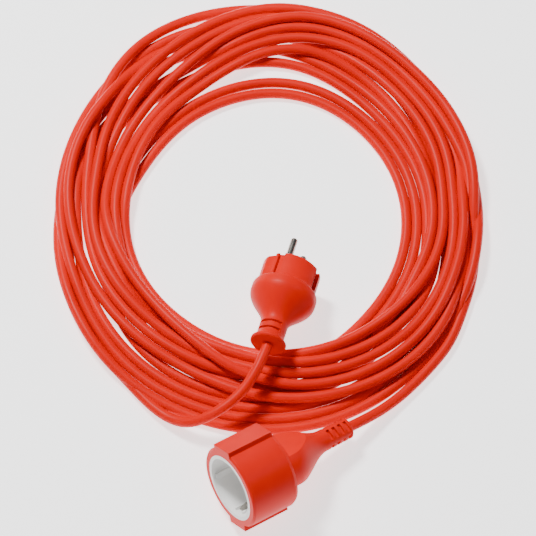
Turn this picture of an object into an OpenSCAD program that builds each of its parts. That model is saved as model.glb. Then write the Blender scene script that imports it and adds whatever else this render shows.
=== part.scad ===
// Earthed extension cord, 10 m, wound by hand into a flat coil.
// Millimetres, +Z up, the coil, plug and coupler lie on the floor at z = 0.
// Plug frame: local +z leaves along the pins, z = 0 is the rear of the neck flange,
// local x is the line of the two pins.
// Coupler frame: local +z leaves the socket mouth, z = 0 is the mouth's face,
// local x is the line of the two pin holes.

/* [Cord] */
// Outer diameter of the round cord
cord_d = 7; // [6:0.1:8.5]
// Diameter of one insulated core
core_d = 2.4; // [2:0.1:2.6]
// Length of jacket held in each moulding
jacket_grip = 12; // [8:0.5:16]

/* [Coil] */
// Outer width of the coil
coil_w = 288; // [260:1:300]
// How much longer than wide the coil is
coil_longer = 26; // [8:1:50]
// Width of the hole in the coil
hole_w = 184; // [150:1:200]
// How much longer than wide the hole is
hole_longer = 14; // [4:1:30]
// Height of the wound coil
coil_h = 18; // [14:0.5:21]

/* [Plug] */
// Diameter of the front section that enters a socket
front_d = 39; // [37.5:0.1:39.5]
// Length of the front section
front_len = 18; // [16:0.5:22]
// Largest diameter of the bulb that is gripped
bulb_d = 44; // [41:0.5:50]
// Length from the rear flange to the front section
grip_len = 43; // [40:0.5:50]
// Diameter of the neck behind the bulb
neck_d = 18.4; // [16:0.2:20]
// Diameter of the rear flange
flange_d = 23.8; // [21:0.2:28]
// Diameter of a contact pin
pin_d = 4.8; // [4.7:0.05:4.9]
// Length of a pin in front of the face
pin_len = 19; // [18:0.5:20]
// Distance between the two pins, and between the two holes
pin_pitch = 19; // [18.5:0.1:19.5]
// Width of a guide groove
groove_w = 4.4; // [3.5:0.1:5.2]
// Depth of a guide groove
groove_depth = 2.6; // [2:0.1:3]
// Bore of the female earth contact
earth_bore_d = 5; // [4.9:0.05:5.4]
// Offset of the female earth contact from the line of the pins
earth_offset = 10; // [9.5:0.1:10.5]

/* [Coupler] */
// Outer diameter of the coupler's barrel
barrel_d = 55; // [52:0.5:60]
// Length of the barrel
barrel_len = 35; // [34:0.5:42]
// Width of the two ridges over the earth clips
ridge_w = 17.4; // [14:0.2:20]
// Distance of a ridge's flat top from the axis
ridge_top = 29.2; // [29:0.1:32]
// Diameter of the cavity that takes a plug
cavity_d = 40.2; // [40:0.1:41]
// Depth of the cavity
cavity_depth = 17.5; // [17:0.1:18.5]
// Wall of the white insert at its rim
insert_wall = 2.5; // [2:0.1:3]
// Diameter of a pin hole in the insert's floor
pin_hole_d = 5.5; // [5.2:0.1:6]
// Thickness of the insert's floor
floor_t = 3; // [2.5:0.1:3.5]
// Diameter of the bend relief at the coupler's rear
relief_d = 13.8; // [11.5:0.1:15]
// Length of the bend relief
relief_len = 21; // [18:0.5:28]

/* [Shutter] */
// Thickness of the shutter
shutter_t = 1.6; // [1.2:0.1:2]
// Half angle of each wing that covers a pin hole
wing_angle = 19; // [18:0.5:21]
// Radial gap between the shutter's hub and its pivot
pivot_gap = 0.06; // [0.03:0.01:0.1]
// Gap between the shutter and the insert's floor
shutter_gap = 0.3; // [0.2:0.05:0.6]

/* [Lay] */
// Heading of the plug's pins, anticlockwise from +X
plug_heading = 74.5; // [70:0.5:80]
// Angle that the pins point down
plug_dip = 10.1; // [9.5:0.1:12]
// Turn of the plug about its own axis
plug_roll = 158; // [150:1:166]
// Heading of the coupler's mouth, anticlockwise from +X
coupler_heading = -147; // [-150:0.5:-144]
// Angle that the mouth is raised
coupler_rise = 12.7; // [11:0.1:14]
// Turn of the coupler about its own axis
coupler_roll = 127; // [120:1:134]

/* [Hidden] */
$fn = 64;
small = 0.01;
fit_gap = 0.1;

// Where the pieces lie
// The coil grows back from its front edge. The plug rests near its front rim, the coupler
// near the back edge of its barrel, and each lift is the small gap under them.
coil_l = coil_w + coil_longer;
hole_l = hole_w + hole_longer;
coil_front = -27;
front_band = 48;
coil_at = [-8, coil_front + coil_l / 2];
hole_at = [-10, coil_front + front_band + hole_l / 2];
plug_lift = 0.305;
plug_height = plug_lift + (grip_len + front_len) * sin(plug_dip) + front_d / 2 * cos(plug_dip);
plug_at = [-8.3, 23, plug_height];
coupler_lift = 0.678;
coupler_height = coupler_lift + barrel_len * sin(coupler_rise) + barrel_d / 2 * cos(coupler_rise);
coupler_at = [-32.3, -77.9, coupler_height];

// Plug, measured from its rear flange
face_z = grip_len + front_len;
flange_t = 3;
neck_slot_w = 1.8;
neck_slot_z = [8.4, 13.6];
front_r = front_d / 2;
rim_r = bulb_d / 2 - 0.8;
carrier_r = 14.6;
carrier_front = face_z - 1.5;
carrier_len = 13.5;
carrier_back = carrier_front - carrier_len;
pin_x = pin_pitch / 2;
pin_r = pin_d / 2;
pin_collar_r = pin_r + 0.9;
shank_r = pin_r - 0.3;
crimp_len = 7;
crimp_r = core_d / 2 + 0.5;
crimp_z = carrier_back - crimp_len;
strip_w = 5;
strip_t = 0.8;
slot_w = 5.6;
slot_floor = front_r - 2.7;
earth_bore_r = earth_bore_d / 2;
sleeve_wall = 0.6;
sleeve_r = earth_bore_r + sleeve_wall;
lead_in_r = sleeve_r + 0.2;
flat_at = front_r - 2.65;
flat_turn = -8;
land_half = 1.5;

// Coupler, measured back from the mouth
barrel_r = barrel_d / 2;
insert_r = cavity_d / 2 + insert_wall;
insert_back = cavity_depth + floor_t;
spring_wire = 0.6;
spring_pitch = spring_wire + 0.05;
spring_room = 3 * spring_wire;
shutter_space = shutter_gap + shutter_t + spring_room;
cover_front = insert_back + shutter_space;
cover_len = 9;
cover_back = cover_front + cover_len;
cover_r = 17.6;
shutter_z = -insert_back - shutter_gap - shutter_t;
hub_r = 3.6;
pivot_r = 1.8;
wing_r = 13.4;
post_angle = 75;
post_x = 8;
post_r = 0.7;
clip_w = 4.6;
clip_t = 0.8;
clip_slot_w = 6.4;
leg_y = cavity_d / 2 - 1.9;
bracket_z = -cover_back - clip_t;
guide_w = 3.6;
guide_h = 2;
dome_r = 19.5;
dome_len = 37;
relief_r = relief_d / 2;
tail_z = -(barrel_len + dome_len + relief_len);
flat_y = 11.5;
contact_r = pin_r + 0.9;
core_ring = core_d / 2 / sin(60) + 0.15;

// The cord's route where it isn't coiled, at the underside of the cord, for a coil 288 mm wide
route_w = 288;
plug_route = [
    [-14, 8, 27.5], [-18, 0, 25.5], [-23, -7, 23.5], [-29, -13, 21.5], [-37, -19, 20],
    [-45, -23, 18.5], [-53, -25.5, 13], [-61, -25, 7.5], [-69, -21.5, 4.5], [-77, -16, 2.5],
    [-84, -9.5, 1.5], [-90, -3, 1], [-96, 4, 1]
];
coupler_route = [
    [53, -22.5, 8], [60, -17.5, 5], [67, -12, 2.5], [75, -5.5, 1], [84, 3, 0.3],
    [92, 11.5, 0.1], [100, 20.5, 0.1], [107, 29.5, 0.1], [113, 38.5, 0.1]
];
tube_sides = 12;
wire_sides = 8;
ring_gap = 2.4 * cord_d;

// ---- placing ----

module at_plug() {
    translate(plug_at) rotate([0, 0, plug_heading]) rotate([0, 90 + plug_dip, 0])
        rotate([0, 0, plug_roll]) children();
}

module at_coupler() {
    translate(coupler_at) rotate([0, 0, coupler_heading]) rotate([0, 90 - coupler_rise, 0])
        rotate([0, 0, coupler_roll]) children();
}

// A place on the plug's or the coupler's axis, in the part's frame
function plug_axis(z) = plug_at + z * [
    cos(plug_dip) * cos(plug_heading), cos(plug_dip) * sin(plug_heading), -sin(plug_dip)
];
function coupler_axis(z) = coupler_at + z * [
    cos(coupler_rise) * cos(coupler_heading), cos(coupler_rise) * sin(coupler_heading),
    sin(coupler_rise)
];

// A straight round rod between two points
module rod(from, to, r) {
    v = to - from;
    translate(from) rotate([0, acos(v.z / norm(v)), atan2(v.y, v.x)]) cylinder(h = norm(v), r = r);
}

// A copy at each side of the axis
module both_sides() {
    children();
    rotate([0, 0, 180]) children();
}

// ---- cord ----

// Catmull-Rom curve through the points of a route
function spline(a, b, c, d, t) = 0.5 * (2 * b + (c - a) * t + (2 * a - 5 * b + 4 * c - d) * t * t
    + (3 * b - a - 3 * c + d) * t * t * t);
function curve(p) = let (last = len(p) - 1) concat(
    [for (i = [0 : last - 1])
        let (a = p[max(i - 1, 0)], d = p[min(i + 2, last)],
             steps = max(1, round(norm(p[i + 1] - p[i]) / ring_gap)))
        for (s = [0 : steps - 1]) spline(a, p[i], p[i + 1], d, s / steps)],
    [p[last]]);
function unit(v) = v / norm(v);

// A route's points at the middle of the cord: the nearer to the coil, the more they follow it
function lead(route) = [for (i = [0 : len(route) - 1])
    let (p = route[i], share = i / (len(route) - 1) * (coil_w / route_w - 1))
    p + [share * (p.x - coil_at.x), share * (p.y - coil_front), cord_d / 2]];

// Closed tube swept through the points, its end faces square to first and last
module tube(p, first, last, r, sides) {
    n = len(p);
    way = [for (i = [0 : n - 1]) i == 0 ? first : i == n - 1 ? last : unit(p[i + 1] - p[i - 1])];
    rings = [for (i = [0 : n - 1])
        let (side = unit(cross(way[i], [0, 0, 1])), up = cross(side, way[i]))
        for (k = [0 : sides - 1])
            let (a = 360 * k / sides) p[i] + r * (cos(a) * side + sin(a) * up)];
    walls = [for (i = [0 : n - 2]) for (k = [0 : sides - 1])
        let (j = (k + 1) % sides, b = i * sides)
        [b + k, b + j, b + sides + j, b + sides + k]];
    ends = [[for (k = [sides - 1 : -1 : 0]) k],
        [for (k = [0 : sides - 1]) (n - 1) * sides + k]];
    polyhedron(rings, concat(walls, ends), convexity = 6);
}

module cord_coil() {
    color("OrangeRed") difference() {
        long_ring(coil_at, coil_w, coil_l, 0, coil_h);
        long_ring(hole_at, hole_w, hole_l, -1, coil_h + 2);
    }
}

// Upright cylinder stretched along Y
module long_ring(at, w, l, z, h) {
    stretch = (l - w) / 2;
    for (s = [-1, 1]) translate([at.x, at.y + s * stretch, z]) cylinder(h = h, r = w / 2, $fn = 96);
    translate([at.x - w / 2, at.y - stretch, z]) cube([w, 2 * stretch, h]);
}

module plug_lead() {
    back = plug_axis(-1) - plug_axis(0);
    color("OrangeRed")
        tube(curve(concat([plug_axis(0), plug_axis(-8)], lead(plug_route))), back, unit([-6, 7, 0]),
            cord_d / 2, tube_sides);
}

module coupler_lead() {
    back = coupler_axis(-1) - coupler_axis(0);
    color("OrangeRed")
        tube(curve(concat([coupler_axis(tail_z), coupler_axis(tail_z - 5)], lead(coupler_route))),
            back, unit([6, 9, 0]), cord_d / 2, tube_sides);
}

// ---- plug ----

// Smooth step from 0 to 1, for the two S-curved grips
function ease(t) = t * t * (3 - 2 * t);

module plug_body() {
    color("OrangeRed") at_plug() difference() {
        union() {
            rotate_extrude() polygon(concat(
                [[0, 0], [flange_d / 2 - 1, 0], [flange_d / 2, 1], [flange_d / 2, flange_t - 0.8],
                    [flange_d / 2 - 0.8, flange_t], [neck_d / 2 + 0.6, flange_t + 1.4],
                    [neck_d / 2, flange_t + 4]],
                [for (t = [0 : 0.05 : 1])
                    [neck_d / 2 + (bulb_d - neck_d) / 2 * ease(t), grip_len - 27 + 22 * t]],
                [[bulb_d / 2, grip_len - 1.6], [bulb_d / 2 - 0.25, grip_len - 0.6],
                    [rim_r, grip_len], [0, grip_len]]));
            front_section();
        }
        // The neck's two slots on each side, over a third of the way round
        both_sides() for (z = neck_slot_z) rotate([0, 0, -60]) translate([0, 0, z - neck_slot_w / 2])
            rotate_extrude(angle = 120) translate([neck_d / 2 - 1.6, 0]) square([3, neck_slot_w]);
        translate([0, 0, -small]) cylinder(h = jacket_grip + small, r = cord_d / 2);
        plug_inside();
    }
}

module front_section() {
    difference() {
        translate([0, 0, grip_len - 1]) cylinder(h = front_len + 1 - 0.6, r = front_r);
        front_cuts();
    }
    difference() {
        translate([0, 0, face_z - 0.6]) cylinder(h = 0.6, r1 = front_r, r2 = front_r - 0.6);
        front_cuts();
    }
}

// Guide grooves on the line of the pins, a flat beside each, and the two earth slots
module front_cuts() {
    both_sides() {
        translate([front_r - groove_depth, -groove_w / 2, grip_len])
            cube([6, groove_w, front_len + 1]);
        rotate([0, 0, flat_turn]) translate([flat_at, -12, grip_len])
            cube([6, 12 - land_half, front_len + 1]);
        translate([-slot_w / 2, slot_floor, grip_len]) cube([slot_w, 6, front_len + 1]);
    }
}

// Everything that the plug's overmould closes round
module plug_inside() {
    carrier_shape();
    for (s = [-1, 1]) pin_shape(s);
    bracket_shape();
    sleeve_shape();
    for (p = plug_crimp_places) crimp_shape(p.x, p.y);
    translate([0, earth_offset, face_z - 3]) cylinder(h = 4, r = lead_in_r);
    for (i = [0 : 2]) plug_core(i);
}

module carrier_shape() {
    translate([0, 0, carrier_back]) cylinder(h = carrier_len, r = carrier_r);
}

module plug_carrier() {
    color("DarkSlateGray") at_plug() difference() {
        carrier_shape();
        for (s = [-1, 1]) pin_shape(s);
        sleeve_shape();
        translate([0, earth_offset, carrier_front - 2]) cylinder(h = 3, r = lead_in_r);
    }
}

// One pin: rounded tip, a thinner shank behind the face, and a collar that the carrier grips
module pin_shape(s) {
    tip = face_z + pin_len;
    translate([s * pin_x, 0, 0]) {
        translate([0, 0, carrier_back - 0.8]) cylinder(h = face_z - carrier_back + 0.8, r = shank_r);
        translate([0, 0, face_z]) cylinder(h = pin_len - 1.6, r = pin_r);
        translate([0, 0, tip - 1.6]) rotate_extrude() polygon(concat([[0, 0]],
            [for (a = [0 : 15 : 75]) [pin_r - 1.4 + 1.4 * cos(a), 1.6 * sin(a)]],
            [[pin_r - 1.4, 1.6], [0, 1.6]]));
        translate([0, 0, carrier_back + 3]) cylinder(h = 2, r = pin_collar_r);
    }
}

module plug_pin_line() {
    color("Silver") at_plug() pin_shape(-1);
}

module plug_pin_neutral() {
    color("Silver") at_plug() pin_shape(1);
}

// Earth strips in the two side slots, joined by a bar behind the carrier
module bracket_shape() {
    bar_z = carrier_back - 1.6;
    strip_top = face_z - 3.5;
    for (s = [-1, 1]) translate([-strip_w / 2, s * (slot_floor - strip_t / 2) - strip_t / 2, bar_z])
        cube([strip_w, strip_t, strip_top - bar_z]);
    translate([-strip_w / 2, -slot_floor, bar_z]) cube([strip_w, 2 * slot_floor, strip_t]);
}

module plug_earth_bracket() {
    color("Silver") at_plug() bracket_shape();
}

// Blind female contact for a socket with an earth pin
module sleeve_shape() {
    translate([0, earth_offset, carrier_back - 0.8]) cylinder(h = carrier_len + 0.8 - 2, r = sleeve_r);
}

module plug_earth_sleeve() {
    color("Gold") at_plug() difference() {
        sleeve_shape();
        translate([0, earth_offset, carrier_back]) cylinder(h = carrier_len + 1, r = earth_bore_r);
    }
}

// Crimp barrel behind a contact, at x, y
module crimp_shape(x, y) {
    top = y == 0 ? carrier_back - 0.8 : carrier_back - 1.6;
    translate([x, y, crimp_z]) cylinder(h = top - crimp_z, r = crimp_r);
}

plug_crimp_places = [[-pin_x, 0], [pin_x, 0], [0, -earth_offset]];

module plug_crimps() {
    color("Goldenrod") at_plug() for (p = plug_crimp_places) crimp_shape(p.x, p.y);
}

// One insulated core from the jacket's end to the flat rear of its crimp
module core(i, start_z, x, y, end_z) {
    a = 150 - 120 * i;
    from = [core_ring * cos(a), core_ring * sin(a), start_z];
    to = [x, y, end_z];
    way = unit(to - from);
    difference() {
        rod(from - way, to + 2 * way, core_d / 2);
        translate(to) cylinder(h = 5, r = 4);
        translate([0, 0, start_z - 4]) cylinder(h = 4, r = 5);
    }
}

module plug_core(i) {
    core(i, jacket_grip, plug_crimp_places[i].x, plug_crimp_places[i].y, crimp_z);
}

module plug_jacket_end() {
    color("OrangeRed") at_plug() cylinder(h = jacket_grip, r = cord_d / 2);
}

module plug_core_line() {
    color("SaddleBrown") at_plug() plug_core(0);
}

module plug_core_neutral() {
    color("RoyalBlue") at_plug() plug_core(1);
}

module plug_core_earth() {
    color("YellowGreen") at_plug() plug_core(2);
}

// ---- coupler ----

module coupler_body() {
    color("OrangeRed") at_coupler() difference() {
        union() {
            rotate_extrude() polygon([[0, 0], [barrel_r - 1.2, 0], [barrel_r, -1.2],
                [barrel_r, 3 - barrel_len], [barrel_r - 0.9, 0.9 - barrel_len],
                [barrel_r - 3, -barrel_len], [0, -barrel_len]]);
            rotate_extrude() polygon(dome_outline());
            for (s = [-1, 1]) translate([-ridge_w / 2, s > 0 ? 0 : -ridge_top, 2 - barrel_len])
                cube([ridge_w, ridge_top, barrel_len - 2]);
        }
        // Flats for finger and thumb, in line with the ridges
        both_sides() translate([-dome_r, flat_y, -barrel_len - dome_len + 12])
            cube([2 * dome_r, dome_r, dome_len - 15]);
        // Windows that let the bend relief flex
        for (turn = [45 : 90 : 315]) for (k = [0 : 3]) rotate([0, 0, turn])
            translate([relief_r - 2, -3.6, tail_z + 2.4 + k * (relief_len - 3) / 4])
                cube([4, 7.2, 2.1]);
        insert_shape();
        cover_shape();
        earth_bracket_room();
        for (p = coupler_crimp_places) coupler_crimp_shape(p);
        for (i = [0 : 2]) coupler_core(i);
        translate([0, 0, tail_z - small]) cylinder(h = jacket_grip + small, r = cord_d / 2);
    }
}

function dome_outline() = let (b = -barrel_len) concat(
    [[0, b + 1], [dome_r, b + 1]],
    [for (t = [0 : 0.05 : 1])
        [dome_r - (dome_r - relief_r - 0.3) * ease(t), b - 7 - (dome_len - 7) * t]],
    [[relief_r, tail_z + 1], [relief_r - 1, tail_z], [0, tail_z]]);

// Outside of the white insert
module insert_shape() {
    translate([0, 0, -insert_back]) cylinder(h = insert_back + small, r = insert_r);
}

module coupler_insert() {
    color("Gainsboro") at_coupler() difference() {
        translate([0, 0, -insert_back]) cylinder(h = insert_back, r = insert_r);
        difference() {
            translate([0, 0, -cavity_depth]) cylinder(h = cavity_depth + 1, r = cavity_d / 2);
            // Guide ribs on the line of the holes
            both_sides() translate([cavity_d / 2 - guide_h, -guide_w / 2, -cavity_depth - 1])
                cube([guide_h + 1, guide_w, cavity_depth - 1]);
            // Walls that stand beside each earth clip
            both_sides() for (s = [-1, 1])
                translate([s * (clip_slot_w / 2 + 0.6) - 0.6, cavity_d / 2 - 2.2, -cavity_depth - 1])
                    cube([1.2, 3, cavity_depth - 2]);
        }
        for (s = [-1, 1]) translate([s * pin_x, 0, -insert_back - 1])
            cylinder(h = floor_t + 2, r = pin_hole_d / 2);
        both_sides() translate([-clip_w / 2 - fit_gap, cavity_d / 2 - 2.2, -insert_back - 1])
            cube([clip_w + 2 * fit_gap, clip_t + 1.6, floor_t + 2]);
    }
}

// Cover behind the insert: shutter room in front, contacts inside
module cover_shape() {
    translate([0, 0, -cover_back]) cylinder(h = cover_back - insert_back, r = cover_r);
}

module coupler_contact_cover() {
    color("WhiteSmoke") at_coupler() difference() {
        union() {
            difference() {
                cover_shape();
                translate([0, 0, -cover_front]) cylinder(h = shutter_space + 1, r = cover_r - 2.6);
            }
            translate([0, 0, -cover_front - 1]) cylinder(h = shutter_space + 1, r = pivot_r);
            spring_post();
        }
        for (s = [-1, 1]) {
            translate([s * pin_x, 0, -cover_front - 1.1]) cylinder(h = 2, r = pin_hole_d / 2);
            contact_room(s);
        }
    }
}

// Post that holds the fixed end of the shutter's spring
module spring_post() {
    rotate([0, 0, post_angle]) translate([post_x, 0, -cover_front - 1])
        cylinder(h = shutter_space + 0.8, r = post_r);
}

module contact_room(s) {
    translate([s * pin_x, 0, -cover_back - 1]) cylinder(h = cover_len - 0.1, r = contact_r + 0.15);
}

// Slit brass tube that grips a pin
module contact_shape(s) {
    translate([s * pin_x, 0, 0]) difference() {
        translate([0, 0, -cover_back]) cylinder(h = cover_len - 1.2, r = contact_r);
        translate([0, 0, -cover_back + 2]) cylinder(h = cover_len, r = pin_r - 0.05);
        translate([-0.4, -contact_r - 1, -cover_back + 3]) cube([0.8, 2 * contact_r + 2, cover_len]);
    }
}

module coupler_contact_line() {
    color("Goldenrod") at_coupler() contact_shape(-1);
}

module coupler_contact_neutral() {
    color("Goldenrod") at_coupler() contact_shape(1);
}

// Earth bracket: bar behind the cover, two legs, and a bowed clip at each side of the cavity
module earth_bracket_solid() {
    translate([-clip_w / 2, -leg_y, bracket_z]) cube([clip_w, 2 * leg_y, clip_t]);
    both_sides() {
        translate([-clip_w / 2, leg_y, bracket_z]) cube([clip_w, clip_t, 2.5 - cavity_depth - bracket_z]);
        translate([clip_w / 2, leg_y, 2.5 - cavity_depth]) rotate([0, -90, 0])
            linear_extrude(clip_w) polygon([[-0.01, 0], [5, -1.6], [10, 0.6], [10, 1.4], [5, -0.75],
                [-0.01, clip_t]]);
    }
}

// Room in the moulding for the bar and the legs
module earth_bracket_room() {
    translate([-clip_w / 2, -leg_y, bracket_z]) cube([clip_w, 2 * leg_y, clip_t]);
    both_sides() translate([-clip_w / 2, leg_y, bracket_z])
        cube([clip_w, clip_t, -bracket_z - insert_back + 1]);
}

module coupler_earth_bracket() {
    color("Silver") at_coupler() earth_bracket_solid();
}

// Child-protection shutter: two wings on a hub, turning about the coupler's axis
module coupler_shutter() {
    color("Orange") at_coupler() translate([0, 0, shutter_z]) difference() {
        union() {
            cylinder(h = shutter_t, r = hub_r);
            both_sides() rotate([0, 0, -wing_angle]) rotate_extrude(angle = 2 * wing_angle)
                translate([hub_r - 0.4, 0]) square([wing_r - hub_r + 0.4, shutter_t]);
        }
        translate([0, 0, -1]) cylinder(h = shutter_t + 2, r = pivot_r + pivot_gap);
    }
}

// Torsion spring round the pivot: a straight leg that leans on the post, about one and
// a half turns, and a leg whose hooked end stands in front of a wing's leading edge
module shutter_spring() {
    turn_r = pivot_r + 0.9;
    wire_r = spring_wire / 2;
    tip_r = 9;
    lean_angle = post_angle - asin((post_r + wire_r + 0.2) / post_x);
    fixed_a = lean_angle + acos(turn_r / post_x);
    free_a = 720 + wing_angle + 3 - acos(turn_r / tip_r);
    steps = 24;
    low = -cover_front + wire_r + 0.1;
    high = low + spring_pitch * (free_a - fixed_a) / 360;
    foot = on_circle(post_x, lean_angle, low);
    tip = on_circle(tip_r, wing_angle + 3, high);
    out = unit([cos(free_a + 90), sin(free_a + 90), 0]);
    turns = [for (i = [0 : steps]) let (t = i / steps)
        on_circle(turn_r, fixed_a + t * (free_a - fixed_a), low + t * (high - low))];
    color("LightSteelBlue") at_coupler()
        tube(concat([foot], turns, [tip - 0.5 * out, tip + [0, 0, 0.4], tip + 0.15 * out + [0, 0, 1.6]]),
            unit(turns[0] - foot), unit(0.12 * out + [0, 0, 1.2]), wire_r, wire_sides);
}

function on_circle(r, a, z) = [r * cos(a), r * sin(a), z];

coupler_crimp_places = [[-pin_x, 0, -cover_back], [pin_x, 0, -cover_back], [0, -7, bracket_z]];

module coupler_crimp_shape(p) {
    translate(p - [0, 0, crimp_len]) cylinder(h = crimp_len, r = crimp_r);
}

module coupler_crimps() {
    color("Goldenrod") at_coupler() for (p = coupler_crimp_places) coupler_crimp_shape(p);
}

module coupler_core(i) {
    p = coupler_crimp_places[i];
    core(i, tail_z + jacket_grip, p.x, p.y, p.z - crimp_len);
}

module coupler_jacket_end() {
    color("OrangeRed") at_coupler() translate([0, 0, tail_z]) cylinder(h = jacket_grip, r = cord_d / 2);
}

module coupler_core_line() {
    color("SaddleBrown") at_coupler() coupler_core(0);
}

module coupler_core_neutral() {
    color("RoyalBlue") at_coupler() coupler_core(1);
}

module coupler_core_earth() {
    color("YellowGreen") at_coupler() coupler_core(2);
}

cord_coil();
plug_lead();
coupler_lead();
plug_body();
plug_carrier();
plug_pin_line();
plug_pin_neutral();
plug_earth_bracket();
plug_earth_sleeve();
plug_crimps();
plug_jacket_end();
plug_core_line();
plug_core_neutral();
plug_core_earth();
coupler_body();
coupler_insert();
coupler_contact_cover();
coupler_contact_line();
coupler_contact_neutral();
coupler_earth_bracket();
coupler_shutter();
shutter_spring();
coupler_crimps();
coupler_jacket_end();
coupler_core_line();
coupler_core_neutral();
coupler_core_earth();
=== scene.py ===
import math

import bpy
import numpy as np
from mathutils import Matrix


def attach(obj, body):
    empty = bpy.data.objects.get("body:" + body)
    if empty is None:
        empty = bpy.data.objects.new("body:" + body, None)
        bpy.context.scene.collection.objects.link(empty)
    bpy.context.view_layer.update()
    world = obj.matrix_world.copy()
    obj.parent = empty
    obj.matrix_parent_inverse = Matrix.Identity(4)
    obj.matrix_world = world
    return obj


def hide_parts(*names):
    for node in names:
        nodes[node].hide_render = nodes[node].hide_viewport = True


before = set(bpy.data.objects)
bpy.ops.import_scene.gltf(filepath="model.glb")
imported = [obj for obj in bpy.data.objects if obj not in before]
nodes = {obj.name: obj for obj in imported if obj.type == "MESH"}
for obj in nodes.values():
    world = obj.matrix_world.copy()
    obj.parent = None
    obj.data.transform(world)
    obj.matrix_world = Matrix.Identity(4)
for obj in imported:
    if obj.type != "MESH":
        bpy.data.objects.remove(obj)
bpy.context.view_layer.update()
bpy.ops.object.select_all(action="DESELECT")

# ---------------------------------------------------------------- camera
# A long lens two metres away, looking down on the flat coil at 65 degrees.
# The far lens keeps the near and far side of the coil almost the same size.
distance = 2.0
down = math.radians(65)
bpy.ops.object.camera_add(
    location=(-0.008, 0.092 - distance * math.cos(down), distance * math.sin(down)),
    rotation=(math.pi / 2 - down, 0, 0),
)
camera = bpy.context.object
camera.name = "camera"
camera.data.sensor_width = 36
camera.data.lens = 201.5
bpy.context.scene.camera = camera

# ---------------------------------------------------------------- cord
# The 10 m of 7 mm round cable, wound by hand into about 13 loose turns that lie on the floor.
# Each turn wanders, dives under its neighbours and climbs over them, because no tie holds it.
# Extruded PVC; it leaves the coupler, makes the turns and ends in the plug's flange.
cord_d = 0.007
cord_r = cord_d / 2
coil_at = np.array([-0.008, 0.130])

# Where the cord isn't coiled, in metres, from each moulding towards the coil, at its underside
plug_at = np.array([-0.0083, 0.023, 0.0302])
plug_axis = np.array([0.26310, 0.94870, -0.17537])
coupler_at = np.array([-0.0323, -0.0779, 0.0352])
coupler_axis = np.array([-0.81815, -0.53131, 0.21985])
plug_route = [
    (-0.014, 0.008, 0.0275), (-0.018, 0.000, 0.0255), (-0.023, -0.007, 0.0235),
    (-0.029, -0.013, 0.0215), (-0.037, -0.019, 0.020), (-0.045, -0.023, 0.0185),
    (-0.053, -0.0255, 0.013), (-0.061, -0.025, 0.0075), (-0.069, -0.0215, 0.0045),
    (-0.077, -0.016, 0.0025), (-0.084, -0.0095, 0.0015), (-0.090, -0.003, 0.001),
    (-0.096, 0.004, 0.001),
]
coupler_route = [
    (0.053, -0.0225, 0.008), (0.060, -0.0175, 0.005), (0.067, -0.012, 0.0025),
    (0.075, -0.0055, 0.001), (0.084, 0.003, 0.0003), (0.092, 0.0115, 0.0001),
    (0.100, 0.0205, 0.0001), (0.107, 0.0295, 0.0001), (0.113, 0.0385, 0.0001),
]

# Each turn as it was laid: its radius in mm every 40 degrees, anticlockwise from 280, and the
# layer that it lies in there, 0 on the floor. The first turn comes in from the coupler at 320.
turn_radii = [
    [153, 138, 142, 155, 123, 108, 101, 104],
    [128, 138, 138, 140, 153, 155, 130, 119, 116],
    [118, 104, 97, 94, 98, 96, 98, 108, 113],
    [125, 110, 115, 113, 123, 132, 136, 145, 155],
    [157, 147, 141, 143, 155, 141, 121, 110, 110],
    [121, 130, 131, 137, 137, 111, 101, 99, 107],
    [114, 122, 124, 121, 129, 104, 96, 98, 101],
    [108, 111, 124, 129, 137, 148, 141, 140, 148],
    [151, 144, 135, 135, 143, 144, 139, 127, 125],
    [138, 145, 136, 141, 147, 122, 128, 134, 141],
    [144, 139, 128, 131, 149, 132, 116, 108, 107],
    [111, 100, 93, 89, 90, 88, 91, 112, 131],
    [132, 115, 103, 103, 111, 108, 126, 142, 157],
]
turn_layers = [
    [0, 0, 1, 2, 1.3, 1.1, 1, 1],
    [2, 1.2, 1.2, 0, 0, 0.3, 1, 1, 1],
    [0, 0, 0.6, 0.5, 0.3, 0.2, 0, 0, 0],
    [0, 0.2, 1, 1, 0.6, 0, 0, 0.3, 1],
    [0.8, 0.5, 0, 0, 1, 1.4, 1.2, 1, 1],
    [1, 1, 1, 1, 1.8, 1.3, 1.1, 0, 0],
    [1, 1, 0.5, 1, 0.9, 1, 0.8, 0, 0],
    [0.3, 1, 1.6, 1.1, 0.6, 0, 0, 0.7, 1],
    [1, 0, 0, 0, 0, 0.8, 1.4, 1.2, 1],
    [1.4, 1, 0, 0, 1.4, 0.3, 0, 0.8, 0.8],
    [0, 0, 0, 0, 0.5, 1.3, 1.1, 0.3, 0],
    [0, 0, 0, 0, 0, 0, 0, 0, 0.4],
    [0, 0, 0.5, 0.6, 0.6, 0, 0, 0, 0],
]
radii = np.array(sum(turn_radii, [])) / 1000
layers = np.array(sum(turn_layers, []))
first_angle, turn_step, fine_step = 320, 40, 2
steps_a_turn = 360 // fine_step
angles = np.arange(340, 13 * 360 + 221, fine_step)

# A Catmull-Rom curve through the stations gives a point every 2 degrees
at = (angles - first_angle) / turn_step
knot = np.clip(np.floor(at).astype(int), 0, len(radii) - 2)
t = at - knot
wanted = []
for values in (radii, layers):
    before = values[np.maximum(knot - 1, 0)]
    here = values[knot]
    after = values[knot + 1]
    beyond = values[np.minimum(knot + 2, len(values) - 1)]
    wanted.append(
        here
        + 0.5 * t * (after - before)
        + t**2 * (before - 2.5 * here + 2 * after - 0.5 * beyond)
        + t**3 * (1.5 * (here - after) + 0.5 * (beyond - before))
    )
lane, layer = wanted
turn_angle = np.radians(angles)
layer_rise = 0.006
layer_z = cord_r + layer_rise * np.maximum(layer, 0)

# The radii are those seen along the camera's line, so a higher strand really lies nearer
lean = math.cos(down) / math.sin(down)
seen_height = 0.010
height = layer_z.copy()
radius = lane - lean * (height - seen_height) * np.sin(turn_angle)

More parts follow.
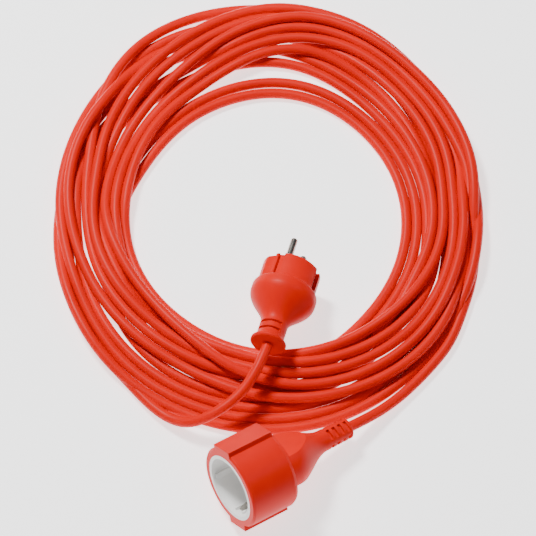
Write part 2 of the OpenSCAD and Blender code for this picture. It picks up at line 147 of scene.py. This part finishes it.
# The strands settle: they push each other apart, sag to the floor and keep near their lanes,
# inside the ring that the turns fill
held = 6
rounds = 1200
touching = 1.015 * cord_d
station = (angles // fine_step) % steps_a_turn
inner = np.full(steps_a_turn, 1.0)
outer = np.zeros(steps_a_turn)
np.minimum.at(inner, station, radius)
np.maximum.at(outer, station, radius)
for step in range(rounds):
    slope = np.gradient(radius) / (radius * math.radians(fine_step))
    steep = 1 / np.sqrt(1 + slope**2)
    move_r = np.zeros_like(radius)
    move_z = np.zeros_like(height)
    touches = np.ones_like(radius)
    for apart in range(1, len(turn_radii)):
        n = apart * steps_a_turn
        cosine = 0.5 * (steep[:-n] + steep[n:])
        across = (radius[n:] - radius[:-n]) * cosine
        up = height[n:] - height[:-n]
        gap = np.sqrt(across**2 + up**2) + 1e-9
        push = np.maximum(touching - gap, 0) / 2
        move_r[n:] += push * across / gap / cosine
        move_r[:-n] -= push * across / gap / cosine
        move_z[n:] += push * up / gap
        move_z[:-n] -= push * up / gap
        touches[n:] += push > 0
        touches[:-n] += push > 0
    ease = 1.6 / np.sqrt(touches)
    pull = 0.03 * (1 - step / rounds) ** 2 + 0.003
    target = lane - lean * (height - seen_height) * np.sin(turn_angle)
    new_r = radius + ease * move_r + pull * (target - radius)
    lift = 0.05 * max(0, 1 - 3 * step / rounds)
    sag = 0.0002 if step < 0.8 * rounds else 0.00002
    new_z = height + ease * move_z + lift * (layer_z - height) - sag
    stray = new_r - target
    for smooth in range(2):
        stray[1:-1] = 0.25 * stray[:-2] + 0.5 * stray[1:-1] + 0.25 * stray[2:]
        new_z[1:-1] = 0.25 * new_z[:-2] + 0.5 * new_z[1:-1] + 0.25 * new_z[2:]
    new_r = np.clip(target + stray, inner[station], outer[station])
    radius[held:-held] = new_r[held:-held]
    height[held:-held] = np.maximum(new_z[held:-held], cord_r)
turns = np.column_stack([
    coil_at[0] + radius * np.cos(turn_angle),
    coil_at[1] + radius * np.sin(turn_angle),
    height,
])

# The two leads are smoothed through their route points and joined to the turns
lead_in = [coupler_at - 0.093 * coupler_axis, coupler_at - 0.098 * coupler_axis]
lead_in += [np.array(p) + [0, 0, cord_r] for p in coupler_route]
lead_out = [np.array(p) + [0, 0, cord_r] for p in reversed(plug_route)]
lead_out += [plug_at - 0.008 * plug_axis, plug_at]
smooth_leads = []
for points in ([*lead_in, turns[0], turns[4]], [turns[-5], turns[-1], *lead_out]):
    points = np.array(points)
    curve_points = []
    for i in range(len(points) - 1):
        p0 = points[max(i - 1, 0)]
        p1 = points[i]
        p2 = points[i + 1]
        p3 = points[min(i + 2, len(points) - 1)]
        for u in np.arange(0, 1, 0.25):
            curve_points.append(
                p1
                + 0.5 * u * (p2 - p0)
                + u**2 * (p0 - 2.5 * p1 + 2 * p2 - 0.5 * p3)
                + u**3 * (1.5 * (p1 - p2) + 0.5 * (p3 - p0))
            )
    curve_points.append(points[-1])
    smooth_leads.append(curve_points)
entry, leaving = smooth_leads
line = np.array([*entry[:-5], *turns, *leaving[5:]])

# Even spacing, then a little smoothing, so that no bend is a kink
for step in range(2):
    run = np.r_[0, np.cumsum(np.linalg.norm(np.diff(line, axis=0), axis=1))]
    even = np.linspace(0, run[-1], int(run[-1] / 0.004))
    line = np.column_stack([np.interp(even, run, line[:, i]) for i in range(3)])
    for smooth in range(5):
        line[1:-1] = 0.25 * line[:-2] + 0.5 * line[1:-1] + 0.25 * line[2:]

cord_curve = bpy.data.curves.new("cord", "CURVE")
cord_curve.dimensions = "3D"
cord_curve.bevel_depth = cord_r
cord_curve.bevel_resolution = 4
cord_curve.use_fill_caps = True
spline = cord_curve.splines.new("POLY")
spline.points.add(len(line) - 1)
for point, place in zip(spline.points, line):
    point.co = (*place, 1)
spline.use_smooth = True
cord = bpy.data.objects.new("cord", cord_curve)
bpy.context.collection.objects.link(cord)

# Satin PVC: soft patches of sheen and a very fine extruded skin
cord_material = bpy.data.materials.new("cord_jacket")
cord_material.use_nodes = True
tree = cord_material.node_tree
shader = tree.nodes["Principled BSDF"]
shader.inputs["IOR"].default_value = 1.46
shader.inputs["Specular IOR Level"].default_value = 0.14
shader.inputs["Subsurface Weight"].default_value = 0.06
shader.inputs["Subsurface Scale"].default_value = 0.002
place = tree.nodes.new("ShaderNodeTexCoord")
patches = tree.nodes.new("ShaderNodeTexNoise")
patches.inputs["Scale"].default_value = 35
patches.inputs["Detail"].default_value = 3
skin = tree.nodes.new("ShaderNodeTexNoise")
skin.inputs["Scale"].default_value = 1600
skin.inputs["Detail"].default_value = 2
tint = tree.nodes.new("ShaderNodeValToRGB")
tint.color_ramp.elements[0].color = (0.68, 0.0045, 0.0001, 1)
tint.color_ramp.elements[1].color = (0.84, 0.0080, 0.0002, 1)
sheen = tree.nodes.new("ShaderNodeMapRange")
sheen.inputs["To Min"].default_value = 0.34
sheen.inputs["To Max"].default_value = 0.48
bump = tree.nodes.new("ShaderNodeBump")
bump.inputs["Strength"].default_value = 0.05
bump.inputs["Distance"].default_value = 0.0002
tree.links.new(place.outputs["Object"], patches.inputs["Vector"])
tree.links.new(place.outputs["Object"], skin.inputs["Vector"])
tree.links.new(patches.outputs["Fac"], tint.inputs["Fac"])
tree.links.new(tint.outputs["Color"], shader.inputs["Base Color"])
tree.links.new(patches.outputs["Fac"], sheen.inputs["Value"])
tree.links.new(sheen.outputs["Result"], shader.inputs["Roughness"])
tree.links.new(skin.outputs["Fac"], bump.inputs["Height"])
tree.links.new(bump.outputs["Normal"], shader.inputs["Normal"])
cord_curve.materials.append(cord_material)
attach(cord, "cord_set")
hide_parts("cord_coil", "plug_lead", "coupler_lead")

# ---------------------------------------------------------------- plug and coupler mouldings
# The two grips are thick orange PVC, moulded over the inner parts in one shot.
# The tool was spark-eroded, so the skin is finely grained and the edges are slightly soft.
grain = bpy.data.node_groups.new("moulded_skin", "ShaderNodeTree")
grain.interface.new_socket("Grain", in_out="INPUT", socket_type="NodeSocketFloat")
grain.interface.new_socket("Edge", in_out="INPUT", socket_type="NodeSocketFloat")
grain.interface.new_socket("Patches", in_out="OUTPUT", socket_type="NodeSocketFloat")
grain.interface.new_socket("Normal", in_out="OUTPUT", socket_type="NodeSocketVector")
group_in = grain.nodes.new("NodeGroupInput")
group_out = grain.nodes.new("NodeGroupOutput")
place = grain.nodes.new("ShaderNodeTexCoord")
cloud = grain.nodes.new("ShaderNodeTexNoise")
cloud.inputs["Scale"].default_value = 60
fine = grain.nodes.new("ShaderNodeTexNoise")
fine.inputs["Detail"].default_value = 3
soft_edge = grain.nodes.new("ShaderNodeBevel")
soft_edge.samples = 6
pits = grain.nodes.new("ShaderNodeBump")
pits.inputs["Strength"].default_value = 0.18
pits.inputs["Distance"].default_value = 0.0002
grain.links.new(place.outputs["Object"], cloud.inputs["Vector"])
grain.links.new(place.outputs["Object"], fine.inputs["Vector"])
grain.links.new(group_in.outputs["Grain"], fine.inputs["Scale"])
grain.links.new(group_in.outputs["Edge"], soft_edge.inputs["Radius"])
grain.links.new(fine.outputs["Fac"], pits.inputs["Height"])
grain.links.new(soft_edge.outputs["Normal"], pits.inputs["Normal"])
grain.links.new(cloud.outputs["Fac"], group_out.inputs["Patches"])
grain.links.new(pits.outputs["Normal"], group_out.inputs["Normal"])

# Each moulded plastic is the same skin with its own colours, sheen, grain and edge
plastics = {
    "orange_moulding": ((0.68, 0.0045, 0.0001), (0.84, 0.0080, 0.0002), 0.36, 0.48, 1100, 0.0005),
    "white_insert": ((0.84, 0.83, 0.81), (0.90, 0.89, 0.87), 0.30, 0.42, 1400, 0.0003),
    "orange_shutter": ((0.72, 0.10, 0.012), (0.80, 0.13, 0.016), 0.34, 0.46, 1400, 0.0002),
    "dark_carrier": ((0.020, 0.019, 0.018), (0.032, 0.030, 0.028), 0.40, 0.55, 1300, 0.0003),
    "core_brown": ((0.085, 0.028, 0.010), (0.110, 0.038, 0.014), 0.35, 0.48, 2000, 0.0001),
    "core_blue": ((0.020, 0.110, 0.420), (0.030, 0.140, 0.500), 0.35, 0.48, 2000, 0.0001),
}
finish = {}
for name, (dark, light, gloss, dull, grain_scale, edge) in plastics.items():
    material = bpy.data.materials.new(name)
    material.use_nodes = True
    tree = material.node_tree
    shader = tree.nodes["Principled BSDF"]
    shader.inputs["IOR"].default_value = 1.46
    shader.inputs["Specular IOR Level"].default_value = 0.14
    surface = tree.nodes.new("ShaderNodeGroup")
    surface.node_tree = grain
    surface.inputs["Grain"].default_value = grain_scale
    surface.inputs["Edge"].default_value = edge
    tint = tree.nodes.new("ShaderNodeValToRGB")
    tint.color_ramp.elements[0].color = (*dark, 1)
    tint.color_ramp.elements[1].color = (*light, 1)
    sheen = tree.nodes.new("ShaderNodeMapRange")
    sheen.inputs["To Min"].default_value = gloss
    sheen.inputs["To Max"].default_value = dull
    tree.links.new(surface.outputs["Patches"], tint.inputs["Fac"])
    tree.links.new(tint.outputs["Color"], shader.inputs["Base Color"])
    tree.links.new(surface.outputs["Patches"], sheen.inputs["Value"])
    tree.links.new(sheen.outputs["Result"], shader.inputs["Roughness"])
    tree.links.new(surface.outputs["Normal"], shader.inputs["Normal"])
    finish[name] = material

# ---------------------------------------------------------------- pins, contacts and wires
# Turned and stamped metal: nickel-plated pins and clips, brass contacts and crimps, a steel
# spring. Drawing and stamping leave fine scratches, so the sheen is uneven.
metals = {
    "nickel": ((0.50, 0.47, 0.43), (0.56, 0.53, 0.48), 0.24, 0.32),
    "brass": ((0.62, 0.40, 0.13), (0.74, 0.50, 0.19), 0.22, 0.38),
    "spring_steel": ((0.42, 0.42, 0.43), (0.55, 0.55, 0.56), 0.24, 0.36),
}
for name, (dark, light, gloss, dull) in metals.items():
    material = bpy.data.materials.new(name)
    material.use_nodes = True
    tree = material.node_tree
    shader = tree.nodes["Principled BSDF"]
    shader.inputs["Metallic"].default_value = 1
    place = tree.nodes.new("ShaderNodeTexCoord")
    stretch = tree.nodes.new("ShaderNodeMapping")
    stretch.inputs["Scale"].default_value = (1, 1, 0.15)
    scratches = tree.nodes.new("ShaderNodeTexNoise")
    scratches.inputs["Scale"].default_value = 260
    scratches.inputs["Detail"].default_value = 2
    tint = tree.nodes.new("ShaderNodeValToRGB")
    tint.color_ramp.elements[0].color = (*dark, 1)
    tint.color_ramp.elements[1].color = (*light, 1)
    sheen = tree.nodes.new("ShaderNodeMapRange")
    sheen.inputs["To Min"].default_value = gloss
    sheen.inputs["To Max"].default_value = dull
    bump = tree.nodes.new("ShaderNodeBump")
    bump.inputs["Strength"].default_value = 0.02
    bump.inputs["Distance"].default_value = 0.0001
    tree.links.new(place.outputs["Object"], stretch.inputs["Vector"])
    tree.links.new(stretch.outputs["Vector"], scratches.inputs["Vector"])
    tree.links.new(scratches.outputs["Fac"], tint.inputs["Fac"])
    tree.links.new(tint.outputs["Color"], shader.inputs["Base Color"])
    tree.links.new(scratches.outputs["Fac"], sheen.inputs["Value"])
    tree.links.new(sheen.outputs["Result"], shader.inputs["Roughness"])
    tree.links.new(scratches.outputs["Fac"], bump.inputs["Height"])
    tree.links.new(bump.outputs["Normal"], shader.inputs["Normal"])
    finish[name] = material

# The earth core is green with yellow stripes that run round it
material = bpy.data.materials.new("core_green_yellow")
material.use_nodes = True
tree = material.node_tree
shader = tree.nodes["Principled BSDF"]
shader.inputs["Roughness"].default_value = 0.42
place = tree.nodes.new("ShaderNodeTexCoord")
stripes = tree.nodes.new("ShaderNodeTexWave")
stripes.inputs["Scale"].default_value = 120
stripes.inputs["Distortion"].default_value = 0.4
tint = tree.nodes.new("ShaderNodeValToRGB")
tint.color_ramp.elements[0].position = 0.48
tint.color_ramp.elements[0].color = (0.03, 0.24, 0.04, 1)
tint.color_ramp.elements[1].position = 0.52
tint.color_ramp.elements[1].color = (0.80, 0.62, 0.03, 1)
tree.links.new(place.outputs["Object"], stripes.inputs["Vector"])
tree.links.new(stripes.outputs["Fac"], tint.inputs["Fac"])
tree.links.new(tint.outputs["Color"], shader.inputs["Base Color"])
finish["core_green_yellow"] = material
finish["cord_jacket"] = cord_material

# Every CAD part that stays takes the finish of its own material slot
for name, node in nodes.items():
    for slot in node.material_slots:
        label = slot.material.name.split(".")[0] if slot.material else ""
        slot.link = "OBJECT"
        slot.material = finish[label]

# ---------------------------------------------------------------- floor and light
# A pale seamless floor and three broad soft boxes, as for a catalogue picture.
bpy.ops.mesh.primitive_plane_add(size=12)
floor = bpy.context.object
floor.name = "floor"
floor_material = bpy.data.materials.new("pale_floor")
floor_material.use_nodes = True
floor_shader = floor_material.node_tree.nodes["Principled BSDF"]
floor_shader.inputs["Base Color"].default_value = (0.92, 0.92, 0.92, 1)
floor_shader.inputs["Roughness"].default_value = 0.9
floor_shader.inputs["Emission Color"].default_value = (1, 1, 1, 1)
floor_shader.inputs["Emission Strength"].default_value = 1.7
floor.data.materials.append(floor_material)

world = bpy.data.worlds.new("studio")
bpy.context.scene.world = world
world.use_nodes = True
world.node_tree.nodes["Background"].inputs["Color"].default_value = (1, 1, 1, 1)
world.node_tree.nodes["Background"].inputs["Strength"].default_value = 0.06
for name, spot, power, size in (
    ("key", (-0.6, 0.75, 1.5), 44, 0.35),
    ("fill", (1.3, 0.1, 1.4), 4, 0.6),
    ("front", (-0.3, -1.4, 1.2), 3, 0.7),
):
    bpy.ops.object.light_add(type="AREA", location=spot)
    lamp = bpy.context.object
    lamp.name = name
    lamp.data.energy = power
    lamp.data.size = size
    aim = lamp.constraints.new("TRACK_TO")
    aim.target = floor
    aim.track_axis = "TRACK_NEGATIVE_Z"
    aim.up_axis = "UP_Y"
